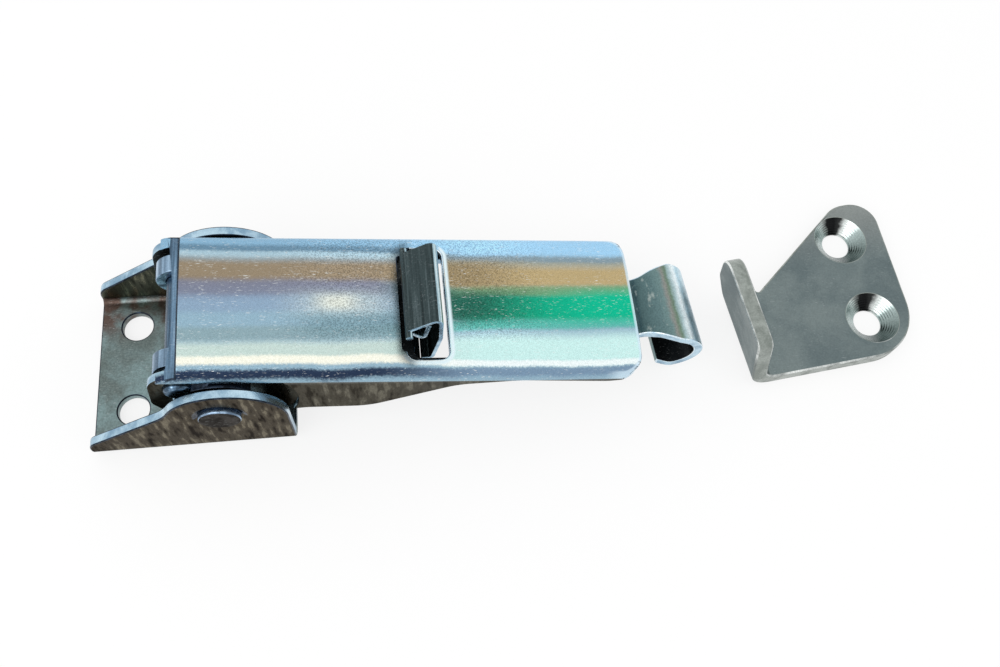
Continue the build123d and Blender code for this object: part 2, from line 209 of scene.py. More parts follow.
def times(tree, first, *others):
    """Product of sockets and numbers."""
    for other in others:
        first = sums(tree, "MULTIPLY", first, other)
    return first


def wobble(tree, vector, size, scale, detail=2.0, roughness=0.5):
    """Noise that goes both ways from zero."""
    centred = sums(tree, "SUBTRACT", noise(tree, vector, scale, detail, roughness), 0.5)
    return times(tree, centred, size)


def split(tree, vector):
    """The X, Y and Z outputs of a vector."""
    made = put(tree, "ShaderNodeSeparateXYZ")
    tree.links.new(vector, made.inputs[0])
    return made.outputs


def mix(tree, amount, first, second, mode="MIX"):
    """Colour mix; each part may be a socket or a fixed value."""
    made = put(tree, "ShaderNodeMix", data_type="RGBA", blend_type=mode)
    feed(tree, amount, made.inputs[0])
    feed(tree, first, made.inputs[6])
    feed(tree, second, made.inputs[7])
    return made.outputs[2]


def ramp(tree, value, stops):
    """Colour ramp from pairs of position and screen colour."""
    made = put(tree, "ShaderNodeValToRGB")
    band = made.color_ramp
    while len(band.elements) > 1:
        band.elements.remove(band.elements[-1])
    band.elements[0].position = stops[0][0]
    band.elements[0].color = screen(*stops[0][1])
    for place, colour in stops[1:]:
        band.elements.new(place).color = screen(*colour)
    tree.links.new(value, made.inputs["Fac"])
    return made.outputs["Color"]


def placed(tree, vector, scale=(1, 1, 1), rotation=(0, 0, 0), location=(0, 0, 0)):
    """A vector that is stretched, turned or moved for a pattern."""
    values = {"Scale": scale, "Rotation": rotation, "Location": location}
    made = put(tree, "ShaderNodeMapping", values)
    tree.links.new(vector, made.inputs["Vector"])
    return made.outputs["Vector"]


print("a mid grey is", round(screen(128, 128, 128)[0], 3), "in linear light")

# %% [markdown]
# ## Effects that several finishes share
# Three things come back on the plated pieces. The zinc crystals give a fine
# speckle. Tumbling in a drum leaves short hair scratches in all directions that
# catch the light. Handling leaves broad faint stains. Each is one node group,
# built once, so a finish only chooses how large and how strong it is.


# %% Group maker
def effect_group(name, numbers, outputs):
    """Empty node group with a Vector input, number inputs and named outputs."""
    tree = bpy.data.node_groups.new(name, "ShaderNodeTree")
    tree.interface.new_socket("Vector", in_out="INPUT", socket_type="NodeSocketVector")
    for title, value in numbers:
        socket = tree.interface.new_socket(title, in_out="INPUT", socket_type="NodeSocketFloat")
        socket.default_value = value
    for title in outputs:
        tree.interface.new_socket(title, in_out="OUTPUT", socket_type="NodeSocketFloat")
    return tree, put(tree, "NodeGroupInput"), put(tree, "NodeGroupOutput")


# %% Zinc speckle
speckle, given, result = effect_group("zinc_speckle", [("Size", 3500.0)], ["Speckle"])
fine = put(speckle, "ShaderNodeTexNoise", {"Detail": 3.0, "Roughness": 0.7})
speckle.links.new(given.outputs["Vector"], fine.inputs["Vector"])
speckle.links.new(given.outputs["Size"], fine.inputs["Scale"])
crystals = put(speckle, "ShaderNodeTexVoronoi", feature="F1")
speckle.links.new(given.outputs["Vector"], crystals.inputs["Vector"])
speckle.links.new(given.outputs["Size"], crystals.inputs["Scale"])
even = spread(speckle, fine.outputs["Fac"], 0.32, 0.68)
cells = spread(speckle, crystals.outputs["Distance"], 0.1, 0.75)
both = sums(speckle, "ADD", times(speckle, even, 0.7), times(speckle, cells, 0.3))
speckle.links.new(both, result.inputs["Speckle"])
print("speckle nodes", len(speckle.nodes))

# %% Hair scratches
hairs, given, result = effect_group("hair_scratches", [("Amount", 0.5)], ["Scratch"])
strands = []
for number, (turned, longer) in enumerate(((25, 900), (-48, 1100), (80, 1000), (-8, 700))):
    lines = placed(
        hairs,
        given.outputs["Vector"],
        scale=(longer, 7200, 3000),
        rotation=(0, 0, math.radians(turned)),
        location=(3.7 * number, 1.9 * number, 0),
    )
    strands.append(spread(hairs, noise(hairs, lines, 1.0, 1.0), 0.70, 0.76))
top_two = sums(hairs, "MAXIMUM", strands[0], strands[1])
low_two = sums(hairs, "MAXIMUM", strands[2], strands[3])
crossed = sums(hairs, "MAXIMUM", top_two, low_two)
patchy = spread(hairs, noise(hairs, given.outputs["Vector"], 260.0, 2.0), 0.35, 0.65, 0.25, 1.0)
kept = times(hairs, crossed, patchy, given.outputs["Amount"])
hairs.links.new(kept, result.inputs["Scratch"])
print("scratch nodes", len(hairs.nodes))

# %% Broad stains
stains, given, result = effect_group("broad_stains", [("Size", 120.0)], ["Stain"])
cloud = put(stains, "ShaderNodeTexNoise", {"Detail": 4.0, "Roughness": 0.6, "Distortion": 0.4})
stains.links.new(given.outputs["Vector"], cloud.inputs["Vector"])
stains.links.new(given.outputs["Size"], cloud.inputs["Scale"])
stains.links.new(spread(stains, cloud.outputs["Fac"], 0.35, 0.65), result.inputs["Stain"])
print("stain nodes", len(stains.nodes))


# %% Placing a shared effect and starting a finish
def effect(tree, group, vector, value):
    """One of the shared effects with this finish's own size or amount."""
    made = put(tree, "ShaderNodeGroup", node_tree=group)
    tree.links.new(vector, made.inputs["Vector"])
    made.inputs[1].default_value = value
    return made.outputs[0]


def grained(tree, colour, spot, size, low, high):
    """A colour broken up by the speckle, and the speckle itself."""
    grain = effect(tree, speckle, spot, size)
    return mix(tree, 1.0, colour, spread(tree, grain, 0.1, 0.9, low, high), "MULTIPLY"), grain


def metal_finish(name, roughness=0.3):
    """A metal material with its tree, shader and object coordinates."""
    material = bpy.data.materials.new(name)
    material.use_nodes = True
    tree = material.node_tree
    shader = tree.nodes["Principled BSDF"]
    shader.inputs["Metallic"].default_value = 1.0
    shader.inputs["Roughness"].default_value = roughness
    spot = put(tree, "ShaderNodeTexCoord").outputs["Object"]
    return material, tree, shader, spot


def relief(tree, shader, height, depth, strength=1.0):
    """Bump from a height that runs from 0 to 1; the depth is in metres."""
    made = put(tree, "ShaderNodeBump", {"Distance": depth, "Strength": strength})
    tree.links.new(height, made.inputs["Height"])
    tree.links.new(made.outputs["Normal"], shader.inputs["Normal"])


print("shared effects", [g.name for g in bpy.data.node_groups])

# %% [markdown]
# ## The lever's plating and its painted reflections
# The bright, crowned top mirrors its surroundings as bands along its length, and
# blue passivation tints them. Here those reflections are painted into the colour.
# From the far fold to the near one they are light blue, brown, then lilac and
# silver at the back but strong green at the front, a pale band, a painted cream
# highlight and a painted dark shade line along the near fold. A room that is
# mirrored could give them, but here they are painted reflections that turn with
# the lever. They are laid on one after another, as a painter would: each soft band
# has its middle, half width, colour and strength, at the back and front.

# %% Lever coordinates
pin_x, pin_z = 0.0012, 0.0204
slope = math.radians(8.5)
lever_shift = (
    -(pin_x * math.cos(slope) - pin_z * math.sin(slope)),
    0.0,
    -(pin_x * math.sin(slope) + pin_z * math.cos(slope)),
)


def along_lever(x, z):
    """Length along the lever and height over its pin, in metres."""
    return (
        x * math.cos(slope) - z * math.sin(slope) + lever_shift[0],
        x * math.sin(slope) + z * math.cos(slope) + lever_shift[2],
    )


def lever_axes(tree, spot):
    """Object coordinates as outputs along, across and over the lever."""
    return split(tree, placed(tree, spot, rotation=(0, -slope, 0), location=lever_shift))


lever_front = along_lever(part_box("lever")[1].x, 0.015)
print("lever front in mm", [round(v * 1000, 1) for v in lever_front])


# %% Painted reflection bands along the lever
change_from, change_to = 0.030, 0.050


def between(tree, along_it, rear, front):
    """A number that changes from back to front, or stays as it is."""
    if rear == front:
        return rear
    return spread(tree, along_it, change_from, change_to, rear, front)


def paint_reflection_stroke(tree, colour, along_it, across_it, rear, front):
    """One soft band of painted reflection laid over a colour: middle and half width in mm, colour,
    strength.
    """
    middle_line = between(tree, along_it, rear[0] / 1000, front[0] / 1000)
    half = between(tree, along_it, rear[1] / 1000, front[1] / 1000)
    away = sums(tree, "ABSOLUTE", sums(tree, "SUBTRACT", across_it, middle_line), 0.0)
    inside = spread(tree, sums(tree, "DIVIDE", away, half), 0.45, 1.45, 1.0, 0.0)
    laid = times(tree, inside, between(tree, along_it, rear[3], front[3]))
    change = spread(tree, along_it, change_from, change_to)
    return mix(tree, laid, colour, mix(tree, change, screen(*rear[2]), screen(*front[2])))


# Painted reflections of the surroundings, tinted by the blue passivation, from the far fold to the
# near fold.
painted_reflection_strokes = [
    ((11.8, 2.2, (140, 182, 210), 1.0), (11.4, 2.4, (163, 210, 242), 1.0)),
    ((9.9, 0.9, (96, 128, 150), 0.75), (8.3, 1.0, (132, 150, 158), 0.85)),
    ((8.9, 0.7, (178, 207, 220), 0.8), (7.4, 0.7, (164, 172, 160), 0.5)),
    ((5.6, 2.5, (152, 137, 115), 1.0), (5.0, 2.5, (188, 168, 125), 1.0)),
    ((2.4, 1.8, (127, 130, 150), 0.9), (-1.0, 3.3, (26, 166, 130), 1.0)),
    ((-0.2, 1.6, (142, 165, 192), 0.7), (2.2, 1.0, (124, 156, 106), 0.75)),
    ((-5.6, 1.3, (142, 168, 174), 0.8), (-4.3, 1.0, (88, 188, 174), 0.8)),
    ((-8.6, 1.6, (200, 220, 214), 1.0), (-9.1, 2.9, (203, 240, 237), 1.0)),
    # Painted highlight: the cream streak.
    ((-10.1, 0.75, (252, 252, 236), 1.0), (-11.5, 0.55, (240, 251, 252), 1.0)),
    # Painted shade: the dark line along the near fold.
    ((-12.3, 0.65, (44, 58, 82), 1.0), (-12.7, 0.6, (120, 146, 172), 0.9)),
]
print("strokes across the lever", len(painted_reflection_strokes))


# %% Distance from a rounded rectangle
def beside_outline(tree, along_it, across_it, rear_end, front_end, half_width, corner):
    """Distance outwards from a rounded rectangle on the lever's top, in metres."""
    centre, half = (rear_end + front_end) / 2, (front_end - rear_end) / 2
    one = sums(tree, "ABSOLUTE", sums(tree, "SUBTRACT", along_it, centre), 0.0)
    one = sums(tree, "SUBTRACT", one, half - corner)
    two = sums(tree, "SUBTRACT", sums(tree, "ABSOLUTE", across_it, 0.0), half_width - corner)
    square_one = sums(tree, "POWER", sums(tree, "MAXIMUM", one, 0.0), 2.0)
    square_two = sums(tree, "POWER", sums(tree, "MAXIMUM", two, 0.0), 2.0)
    outside = sums(tree, "SQRT", sums(tree, "ADD", square_one, square_two), 0.0)
    inside = sums(tree, "MINIMUM", sums(tree, "MAXIMUM", one, two), 0.0)
    return sums(tree, "SUBTRACT", sums(tree, "ADD", outside, inside), corner)


print("outline finish ready")

# %% Lever top
lever_top, tree, shader, spot = metal_finish("lever_top_zinc", 0.28)
along_it, level_across, _ = lever_axes(tree, spot)
waver = wobble(tree, spot, 0.0011, 70.0)
jitter = wobble(tree, spot, 0.0007, 2400.0, 2.0, 0.7)
across_it = sums(tree, "ADD", level_across, sums(tree, "ADD", waver, jitter))
# The top starts light blue, and each painted reflection band is laid over it in turn.
painted_reflection_bands = screen(150, 182, 200)
for rear, front in painted_reflection_strokes:
    painted_reflection_bands = paint_reflection_stroke(tree, painted_reflection_bands, along_it, across_it, rear, front)
print("lever top nodes so far", len(tree.nodes))


# %% Painted reflection areas along the lever
def patch_mask(tree, along_ends, across_ends):
    """Soft patch on the lever's top; each end is where it starts and is full, in mm."""
    edges = [spread(tree, along_it, a / 1000, b / 1000) for a, b in along_ends]
    edges += [spread(tree, across_it, a / 1000, b / 1000) for a, b in across_ends]
    return times(tree, *edges)


# Painted reflections: green and brown areas behind the window and at the front, with paler and
# darker areas and a painted cream highlight at the back.
green_reflection_part = ((-5.5, -2.0), (4.0, 0.5))
brown_reflection_part = ((2.0, 4.0), (9.5, 7.0))
behind_window = ((40.0, 44.0), (63.0, 47.0))
painted_reflection_patches = [
    (((13.0, 25.0), (37.0, 29.0)), ((-4.5, -1.0), (3.5, 0.0)), 0.65, (188, 202, 200)),
    (((19.5, 24.5), (30.0, 25.5)), ((-2.4, -0.4), (2.2, 0.3)), 0.6, (232, 232, 214)),
    (((14.0, 24.0), (40.0, 34.0)), ((-7.2, -5.0), (-1.2, -3.4)), 0.7, (112, 144, 154)),
    (behind_window, green_reflection_part, 0.9, (42, 92, 80)),
    (behind_window, brown_reflection_part, 0.9, (146, 130, 100)),
    (((56.0, 72.0),), green_reflection_part, 0.8, (20, 194, 152)),
]
for along_ends, across_ends, strength, colour in painted_reflection_patches:
    laid = times(tree, patch_mask(tree, along_ends, across_ends), strength)
    painted_reflection_bands = mix(tree, laid, painted_reflection_bands, screen(*colour))
near_middle = patch_mask(tree, ((12.0, 27.0), (66.0, 50.0)), ((-8.5, -5.0),))
grain = effect(tree, speckle, spot, 4000.0)
mild = spread(tree, grain, 0.1, 0.9, 0.90, 1.07)
strong = times(tree, spread(tree, grain, 0.2, 0.8, -0.22, 0.27), near_middle)
speckled = mix(tree, 1.0, painted_reflection_bands, sums(tree, "ADD", mild, strong), "MULTIPLY")
print("painted_reflection_patches", len(painted_reflection_patches), "laid over", len(painted_reflection_strokes), "painted_reflection_strokes")

# %% Painted highlight and shade at the window's rims, painted highlight at the front end
to_window = beside_outline(tree, along_it, level_across, 0.0361, 0.0432, 0.0104, 0.0016)
rim_outer = spread(tree, to_window, 0.0002, 0.0004)
rim_inner = spread(tree, to_window, 0.0011, 0.0006)
front_side = sums(
    tree, "MAXIMUM",
    spread(tree, along_it, 0.0425, 0.0432),
    spread(tree, level_across, -0.0092, -0.0101),
)
# Painted highlight: a bright line along the window's near and front rims.
window_painted_highlight = times(tree, rim_outer, rim_inner, front_side)
speckled = mix(tree, window_painted_highlight, speckled, screen(226, 244, 250))
# Painted shade: a dark band round the window's rear end.
shade_width = spread(tree, to_window, 0.0024, 0.0003, 0.0, 0.7)
window_shade = times(tree, shade_width, spread(tree, along_it, 0.0385, 0.0362))
speckled = mix(tree, window_shade, speckled, screen(46, 56, 62))
# Painted highlight: a bright line just inside the lever's rounded front end.
to_end = beside_outline(tree, along_it, level_across, -0.0002, 0.0773, 0.0135, 0.0040)
front_end_painted_highlight = times(
    tree, spread(tree, to_end, -0.0008, -0.0005), spread(tree, along_it, 0.0700, 0.0735), 0.7,
)
speckled = mix(tree, front_end_painted_highlight, speckled, screen(214, 236, 250))
hair = effect(tree, hairs, spot, 0.75)
scratched = mix(tree, hair, speckled, screen(235, 240, 240))
tree.links.new(scratched, shader.inputs["Base Color"])
tree.links.new(spread(tree, grain, 0.0, 1.0, 0.2, 0.42), shader.inputs["Roughness"])
relief(tree, shader, sums(tree, "SUBTRACT", grain, hair), 0.00002, 0.5)
print("lever finish nodes", len(tree.nodes))

# %% [markdown]
# ## Sides, cut edges and the inside
# The bent-down sides and the ears are painted brown with upright blotches, a
# painted reflection of something dark and mottled. Like the bands, it is painted
# into the finish here. The sheared edges of the sheet are painted bright and
# bluish, a painted reflection. Inside the channels the colour is dark, painted
# shade. Faces are sorted to these finishes by where they lie.


# %% Sides with painted reflection blotches
dim_tint = (0.5, 0.5, 0.5, 1.0)


def reflection_blotched_side(name, dark, medium, pale, painted_highlight_top=None):
    """Brownish plated side with painted reflection blotches drawn out along Z, and a painted
    highlight near the lever's fold and front.
    """
    material, tree, shader, spot = metal_finish(name, 0.32)
    shader.inputs["Specular Tint"].default_value = dim_tint
    broad = noise(tree, placed(tree, spot, scale=(1.0, 1.0, 0.18)), 950.0, 2.0, 0.5)
    fine = noise(tree, placed(tree, spot, scale=(1.0, 1.0, 0.2)), 2600.0, 2.0, 0.6)
    clouds = noise(tree, spot, 260.0, 2.0)
    runs = sums(tree, "ADD", times(tree, broad, 0.6), times(tree, fine, 0.2))
    runs = sums(tree, "ADD", runs, times(tree, clouds, 0.2))
    colour = ramp(tree, runs, [(0.39, dark), (0.47, medium), (0.53, medium), (0.61, pale)])
    colour, grain = grained(tree, colour, spot, 3600.0, 0.8, 1.15)
    # Painted highlight: lighter towards the fold and the front of the lever.
    if painted_highlight_top:
        along, _, over = lever_axes(tree, spot)
        near_fold = spread(tree, over, 0.0024, 0.0042)
        to_front = spread(tree, along, 0.030, 0.070, 0.0, 0.55)
        colour = mix(tree, sums(tree, "MAXIMUM", near_fold, to_front), colour, screen(*painted_highlight_top))
    hair = effect(tree, hairs, placed(tree, spot, rotation=(math.radians(90), 0, 0)), 0.08)
    colour = mix(tree, hair, colour, screen(190, 190, 180))
    tree.links.new(colour, shader.inputs["Base Color"])
    tree.links.new(spread(tree, runs, 0.35, 0.65, 0.42, 0.24), shader.inputs["Roughness"])
    relief(tree, shader, sums(tree, "ADD", runs, grain), 0.00003, 0.4)
    return material


lever_side = reflection_blotched_side(
    "lever_side_zinc", (54, 50, 42), (86, 82, 72), (122, 118, 105), painted_highlight_top=(134, 137, 135),
)
ear_side = reflection_blotched_side("ear_side_zinc", (42, 36, 30), (86, 79, 68), (134, 126, 109))
inner_ear = reflection_blotched_side("inner_ear_zinc", (58, 60, 52), (84, 87, 76), (118, 118, 100))
print("side finishes", lever_side.name, ear_side.name, inner_ear.name)


# %% Cut edges and inner faces
def even_zinc(
    name, base, other, stain_size, speckle_size, roughness,
    scratch=0.3, grain_low=0.85, grain_high=1.12, patch=None,
):
    """Zinc of one general colour with stains, speckle, scratches and perhaps a patch."""
    material, tree, shader, spot = metal_finish(name, roughness)
    stain = effect(tree, stains, spot, stain_size)
    colour = mix(tree, stain, screen(*base), screen(*other))
    if patch:
        colour = mix(tree, patch[0](tree, spot), colour, screen(*patch[1]))
    colour, grain = grained(tree, colour, spot, speckle_size, grain_low, grain_high)
    hair = effect(tree, hairs, spot, scratch)
    colour = mix(tree, hair, colour, screen(225, 230, 230))
    tree.links.new(colour, shader.inputs["Base Color"])
    matt = spread(tree, stain, 0, 1, roughness - 0.06, roughness + 0.1)
    tree.links.new(matt, shader.inputs["Roughness"])
    relief(tree, shader, sums(tree, "ADD", stain, grain), 0.00002, 0.5)
    return material


def far_corner(tree, spot):
    """Mask of a brownish corner round the base's far rear hole."""
    x, y, _ = split(tree, spot)
    corner = times(tree, spread(tree, y, 0.004, 0.0095), spread(tree, x, -0.001, -0.007))
    cloudy = spread(tree, noise(tree, spot, 240.0, 3.0), 0.40, 0.60, 0.15, 0.9)
    return times(tree, corner, cloudy)


def far_end(tree, spot):
    """Mask that grows towards the keeper's far corner."""
    return spread(tree, split(tree, spot)["Y"], 0.010, 0.024, 0.0, 0.8)


# Painted reflection: sheared edges are bright and bluish as they mirror the bright surroundings.
# Along rounded edges there are dark lines of painted shade and bright lines of painted glint.
cut_edge_sheen = even_zinc(
    "cut_edge_zinc", (188, 216, 232), (128, 162, 186), 260.0, 4200.0, 0.24, 0.1, 0.92, 1.06,
)
edge_shade = even_zinc("edge_shade_zinc", (52, 62, 76), (30, 36, 44), 600.0, 4200.0, 0.3, 0.05)
edge_glint = even_zinc(
    "edge_glint_zinc", (236, 246, 250), (186, 214, 232), 500.0, 4200.0, 0.2, 0.05,
)
# Painted shade: the dark finish inside the channels and on faces under other parts.
painted_shade_inside = even_zinc(
    "channel_inside_zinc", (44, 48, 50), (26, 29, 31), 160.0, 3000.0, 0.4,
)
web_zinc = even_zinc(
    "base_web_zinc", (124, 145, 146), (104, 116, 114), 150.0, 2800.0, 0.34, 0.35,
    patch=(far_corner, (88, 68, 60)),
)
keeper_zinc = even_zinc(
    "keeper_zinc", (119, 131, 131), (104, 117, 119), 90.0, 2600.0, 0.4, 0.2, 0.93, 1.05,
    patch=(far_end, (144, 149, 147)),
)
# Painted sheen: the keeper's sides and rims are lighter than its top.
keeper_edge_sheen = even_zinc(
    "keeper_edge_zinc", (158, 165, 160), (132, 139, 134), 260.0, 3000.0, 0.3, 0.2, 0.9, 1.08,
)
# Painted glint on the keeper's near edge and the lip's rims.
keeper_glint = even_zinc(
    "keeper_glint_zinc", (228, 232, 230), (120, 127, 125), 130.0, 3000.0, 0.22, 0.1,
)
plain = (
    cut_edge_sheen, edge_shade, edge_glint, painted_shade_inside,
    web_zinc, keeper_zinc, keeper_edge_sheen, keeper_glint,
)
print("plain finishes", [finish.name for finish in plain])

# %% [markdown]
# ## Pin, rivets and the sprung catch
# The pin is drawn wire, so its marks run along it, with painted highlight streaks
# along them. A rivet's head has been pressed flat: its face is dull and brown, and
# its side is painted bright and bluish as a painted reflection. The catch is strip
# steel rolled to a spring, and its rolling lines run across the latch, on the roof
# and on the nose alike; the nose's front is painted lighter as a highlight. Pin,
# knuckles and catch use one idea: noise drawn out along the lines, with painted
# reflection bands on the knuckles. The rivets are even zinc with less mirror at the
# rim.


# %% Drawn and rolled steel
def lined_steel(name, stops, spacing, roughness=0.26):
    """Steel with fine lines that run across the latch, along Y: drawing and rolling marks, partly
    painted light and dark streaks of reflection.
    """
    material, tree, shader, spot = metal_finish(name, roughness)
    lines = noise(tree, placed(tree, spot, scale=(1.0, 0.03, 1.0)), spacing, 3.0, 0.6)
    colour = ramp(tree, lines, stops)
    colour, _ = grained(tree, colour, spot, 3600.0, 0.88, 1.1)
    hair = effect(tree, hairs, spot, 0.2)
    colour = mix(tree, hair, colour, screen(220, 226, 230))
    tree.links.new(colour, shader.inputs["Base Color"])
    matt = spread(tree, lines, 0.3, 0.7, roughness + 0.1, roughness - 0.06)
    tree.links.new(matt, shader.inputs["Roughness"])
    relief(tree, shader, lines, 0.00002, 0.6)
    return material


# Painted highlight streaks along the pin, with its drawing marks.
pin_steel = lined_steel("pin_steel", [
    (0.32, (32, 44, 56)), (0.5, (74, 96, 116)), (0.62, (112, 142, 168)), (0.74, (186, 208, 224)),
], 900.0)
# Painted reflection: bright bluish bands on the rolled knuckles.
knuckle_zinc = lined_steel("knuckle_zinc", [
    (0.3, (70, 88, 104)), (0.48, (128, 154, 178)), (0.62, (166, 194, 218)), (0.75, (205, 224, 238)),
], 700.0)
catch_steel = lined_steel("catch_steel", [
    (0.3, (40, 49, 51)), (0.46, (57, 69, 71)), (0.58, (66, 79, 81)), (0.74, (104, 118, 122)),
], 1500.0, 0.3)
# Painted highlight: the lighter finish for the catch's nose front.
nose_highlight_steel = lined_steel("nose_highlight_steel", [
    (0.3, (112, 138, 150)), (0.46, (152, 180, 190)), (0.58, (178, 204, 212)),
    (0.74, (226, 240, 244)),
], 2200.0)
print("lined finishes", pin_steel.name, knuckle_zinc.name, catch_steel.name, nose_highlight_steel.name)

# %% Rivet finish
rivet_face = even_zinc("rivet_face_steel", (74, 71, 68), (44, 41, 38), 420.0, 3400.0, 0.34, 0.25)
face_shader = rivet_face.node_tree.nodes["Principled BSDF"]
face_shader.inputs["Specular Tint"].default_value = dim_tint
# Painted reflection: the rivets' round sides are bright and bluish.
rivet_side = even_zinc(
    "rivet_side_steel", (164, 190, 216), (104, 124, 146), 600.0, 3800.0, 0.24, 0.1,
)
print("rivet finishes", rivet_face.name, rivet_side.name)

# %% [markdown]
# ## The hook's plating with painted shade and reflections
# Where the strap leaves the lever it is painted dark grey-green as shade, with pale
# rubbed marks, and over the rolled end it passes through narrow bands of painted
# reflection to a bright bluish crest, a painted highlight. Those bands are painted
# along the roll, so they are a ramp over X with a little noise.

# %% Hook finish
hook_zinc, tree, shader, spot = metal_finish("hook_zinc", 0.26)
hook_skew = math.radians(4.5)
forward = split(tree, placed(tree, spot, rotation=(0, 0, -hook_skew)))["X"]
waver = wobble(tree, spot, 0.0012, 500.0, 3.0, 0.7)
over_roll = spread(tree, sums(tree, "ADD", forward, waver), 0.0790, 0.0915)
over_roll.node.interpolation_type = "LINEAR"
# Painted shade near the lever, then painted reflection bands and a painted highlight at the crest.
roll_painted_light_and_wear = ramp(tree, over_roll, [
    (0.0, (72, 96, 98)), (0.28, (96, 122, 124)), (0.40, (112, 138, 138)),
    (0.46, (140, 142, 138)), (0.52, (108, 132, 114)), (0.58, (166, 190, 194)),
    (0.66, (234, 246, 250)), (0.74, (178, 210, 224)), (0.82, (214, 234, 242)),
    (0.92, (196, 222, 240)), (1.0, (184, 212, 236)),
])
rubbed = noise(tree, placed(tree, spot, scale=(1.0, 0.45, 1.0)), 620.0, 3.0, 0.7)
flat_part = spread(tree, forward, 0.0850, 0.0838)
marks = times(tree, spread(tree, rubbed, 0.56, 0.66), flat_part, 0.6)
roll_painted_light_and_wear = mix(tree, marks, roll_painted_light_and_wear, screen(170, 182, 178))
roll_painted_light_and_wear, grain = grained(tree, roll_painted_light_and_wear, spot, 3400.0, 0.85, 1.12)
tree.links.new(roll_painted_light_and_wear, shader.inputs["Base Color"])
tree.links.new(spread(tree, rubbed, 0.3, 0.7, 0.32, 0.46), shader.inputs["Roughness"])
relief(tree, shader, sums(tree, "ADD", rubbed, grain), 0.00002, 0.5)
print("hook finish nodes", len(tree.nodes))

# %% [markdown]
# ## Countersunk holes
# The keeper's cones were cut by a turning tool and plated, so they carry rings.
# The bright and dark sectors that light makes on any turned cone are painted in,
# by the angle round each hole's own axis, so this finish is made once for each hole.


# %% Turned cone finish with painted sectors of reflection
def cone_with_painted_sectors(name, centre):
    """Turned zinc round an upright axis, with painted bright and dark sectors of reflection."""
    material, tree, shader, spot = metal_finish(name, 0.2)
    local = placed(tree, spot, location=(-centre[0], -centre[1], 0))
    x, y, _ = split(tree, local)
    sector = put(tree, "ShaderNodeMapRange", {"From Min": -math.pi, "From Max": math.pi})
    tree.links.new(sums(tree, "ARCTAN2", y, x), sector.inputs["Value"])
    ragged = wobble(tree, spot, 0.05, 900.0, 3.0)
    colour = ramp(tree, sums(tree, "ADD", sector.outputs["Result"], ragged), [
        (0.0, (176, 192, 190)), (0.12, (112, 126, 124)), (0.25, (86, 98, 98)),
        (0.42, (104, 118, 116)), (0.56, (168, 184, 182)), (0.62, (206, 214, 212)),
        (0.67, (214, 220, 218)), (0.705, (48, 50, 50)), (0.74, (26, 27, 28)),
        (0.80, (30, 31, 32)), (0.835, (150, 156, 154)), (0.87, (190, 200, 198)),
        (0.92, (150, 168, 166)), (1.0, (176, 192, 190)),
    ])
    colour, _ = grained(tree, colour, spot, 3200.0, 0.86, 1.12)
    tree.links.new(colour, shader.inputs["Base Color"])
    rings = put(
        tree, "ShaderNodeTexWave", {"Scale": 900.0}, wave_type="RINGS", rings_direction="Z",
    )
    tree.links.new(local, rings.inputs["Vector"])
    relief(tree, shader, rings.outputs["Fac"], 0.00004, 0.5)
    return material


mounts = {mount["name"]: mount for mount in frame["record"]["mounts"]}
sink_x, sink_y, _ = mounts["keeper_screw_holes"]["pos_m"]
keeper_turn = math.radians(6.5)
half_pitch = 0.0088
sink_reach = 0.0056
sinks = []
for side in (-1, 1):
    sinks.append((
        sink_x - side * half_pitch * math.sin(keeper_turn),
        sink_y + side * half_pitch * math.cos(keeper_turn),
    ))
cone_finishes = [cone_with_painted_sectors(f"cone_with_painted_sectors_{i}", centre) for i, centre in enumerate(sinks)]
print("sinks in mm", [[round(v * 1000, 1) for v in s] for s in sinks])

# %% [markdown]
# ## Rounding the stamped edges
# A CAD solid has knife edges, but a stamped and tumbled part has none, and its
# edges are what catches the light. A Bevel modifier could do it live. Here each
# piece gets a merged copy of its CAD mesh, flat triangles are dissolved into
# whole faces, and bmesh rounds every outward edge that turns by more than 30
# degrees. An edge over 2 mm long that folds back almost on itself is a needle, and
# is flattened first, because it would spoil the rounding. There are two: at the
# keeper's neck, and in the thin ledge at the rear of the lever's top. Normals
# weighted by face size keep the flat sheet flat beside the rounded edges.


# %% Rounded copy of a CAD piece
same_place = 0.000002
too_thin = 0.00001
needle_turn, needle_length = math.radians(165), 0.002


